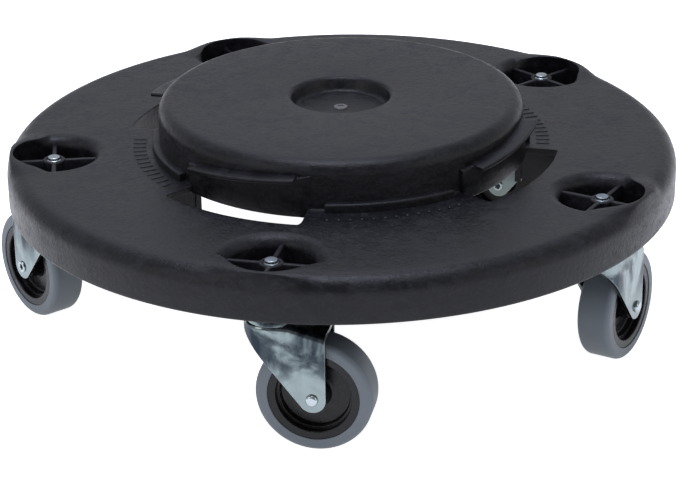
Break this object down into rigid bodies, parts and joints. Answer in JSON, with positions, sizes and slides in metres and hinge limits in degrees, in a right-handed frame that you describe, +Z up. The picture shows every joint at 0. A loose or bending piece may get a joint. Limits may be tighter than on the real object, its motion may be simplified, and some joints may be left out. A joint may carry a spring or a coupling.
{
  "type": "round bin dolly",
  "caption": "Round moulded dolly deck with a raised twist-lock hub and arc slots, carried on swivel casters with grey treads.",
  "frame": {"origin": "on the floor, on the hub's axis, under the middle of the deck", "axes": "+Z up; +X to the right and +Y to the rear, seen from the side that the front caster is on"},
  "size_m": [0.4783, 0.4781, 0.1626],
  "materials": {
    "deck_plastic": "fine moulded grain, matte",
    "zinc_fork": "bright zinc plate on pressed sheet",
    "zinc_bright": "bright zinc plate",
    "ball_steel": "polished balls under grease",
    "core_plastic": "semi-gloss moulded",
    "tread_rubber": "soft non-marking rubber, matte"
  },
  "bodies": {
    "deck": {"deck": "deck_plastic", "stem_left": "zinc_bright", "upper_race_left": "zinc_bright", "lower_race_left": "zinc_bright", "stem_front": "zinc_bright", "upper_race_front": "zinc_bright", "lower_race_front": "zinc_bright", "stem_right": "zinc_bright", "upper_race_right": "zinc_bright", "lower_race_right": "zinc_bright", "stem_rear_right": "zinc_bright", "upper_race_rear_right": "zinc_bright", "lower_race_rear_right": "zinc_bright", "stem_rear_left": "zinc_bright", "upper_race_rear_left": "zinc_bright", "lower_race_rear_left": "zinc_bright"},
    "caster_left": {"fork_left": "zinc_fork", "axle_rivet_left": "zinc_bright", "axle_sleeve_left": "zinc_bright", "upper_balls_left": "ball_steel", "lower_balls_left": "ball_steel"},
    "wheel_left": {"wheel_core_left": "core_plastic", "tread_left": "tread_rubber"},
    "caster_front": {"fork_front": "zinc_fork", "axle_rivet_front": "zinc_bright", "axle_sleeve_front": "zinc_bright", "upper_balls_front": "ball_steel", "lower_balls_front": "ball_steel"},
    "wheel_front": {"wheel_core_front": "core_plastic", "tread_front": "tread_rubber"},
    "caster_right": {"fork_right": "zinc_fork", "axle_rivet_right": "zinc_bright", "axle_sleeve_right": "zinc_bright", "upper_balls_right": "ball_steel", "lower_balls_right": "ball_steel"},
    "wheel_right": {"wheel_core_right": "core_plastic", "tread_right": "tread_rubber"},
    "caster_rear_right": {"fork_rear_right": "zinc_fork", "axle_rivet_rear_right": "zinc_bright", "axle_sleeve_rear_right": "zinc_bright", "upper_balls_rear_right": "ball_steel", "lower_balls_rear_right": "ball_steel"},
    "wheel_rear_right": {"wheel_core_rear_right": "core_plastic", "tread_rear_right": "tread_rubber"},
    "caster_rear_left": {"fork_rear_left": "zinc_fork", "axle_rivet_rear_left": "zinc_bright", "axle_sleeve_rear_left": "zinc_bright", "upper_balls_rear_left": "ball_steel", "lower_balls_rear_left": "ball_steel"},
    "wheel_rear_left": {"wheel_core_rear_left": "core_plastic", "tread_rear_left": "tread_rubber"}
  },
  "joints": [
    {"name": "swivel_left", "type": "hinge", "parent": "deck", "child": "caster_left", "pos_m": [-0.19854, -0.01737, 0.0979], "axis": [0, 0, 1], "continuous": true},
    {"name": "roll_left", "type": "hinge", "parent": "caster_left", "child": "wheel_left", "pos_m": [-0.2154, 0.00436, 0.0381], "axis": [-0.7902, -0.6129, 0], "continuous": true},
    {"name": "swivel_front", "type": "hinge", "parent": "deck", "child": "caster_front", "pos_m": [-0.04483, -0.19419, 0.0979], "axis": [0, 0, 1], "continuous": true},
    {"name": "roll_front", "type": "hinge", "parent": "caster_front", "child": "wheel_front", "pos_m": [-0.01794, -0.19996, 0.0381], "axis": [0.2096, 0.9778, 0], "continuous": true},
    {"name": "swivel_right", "type": "hinge", "parent": "deck", "child": "caster_right", "pos_m": [0.17083, -0.10265, 0.0979], "axis": [0, 0, 1], "continuous": true},
    {"name": "roll_right", "type": "hinge", "parent": "caster_right", "child": "wheel_right", "pos_m": [0.18491, -0.07903, 0.0381], "axis": [-0.859, 0.512, 0], "continuous": true},
    {"name": "swivel_rear_right", "type": "hinge", "parent": "deck", "child": "caster_rear_right", "pos_m": [0.15041, 0.13075, 0.0979], "axis": [0, 0, 1], "continuous": true},
    {"name": "roll_rear_right", "type": "hinge", "parent": "caster_rear_right", "child": "wheel_rear_right", "pos_m": [0.12574, 0.14289, 0.0381], "axis": [-0.4415, -0.8973, 0], "continuous": true},
    {"name": "swivel_rear_left", "type": "hinge", "parent": "deck", "child": "caster_rear_left", "pos_m": [-0.07787, 0.18346, 0.0979], "axis": [0, 0, 1], "continuous": true},
    {"name": "roll_rear_left", "type": "hinge", "parent": "caster_rear_left", "child": "wheel_rear_left", "pos_m": [-0.06582, 0.20817, 0.0381], "axis": [-0.8988, 0.4384, 0], "continuous": true}
  ]
}
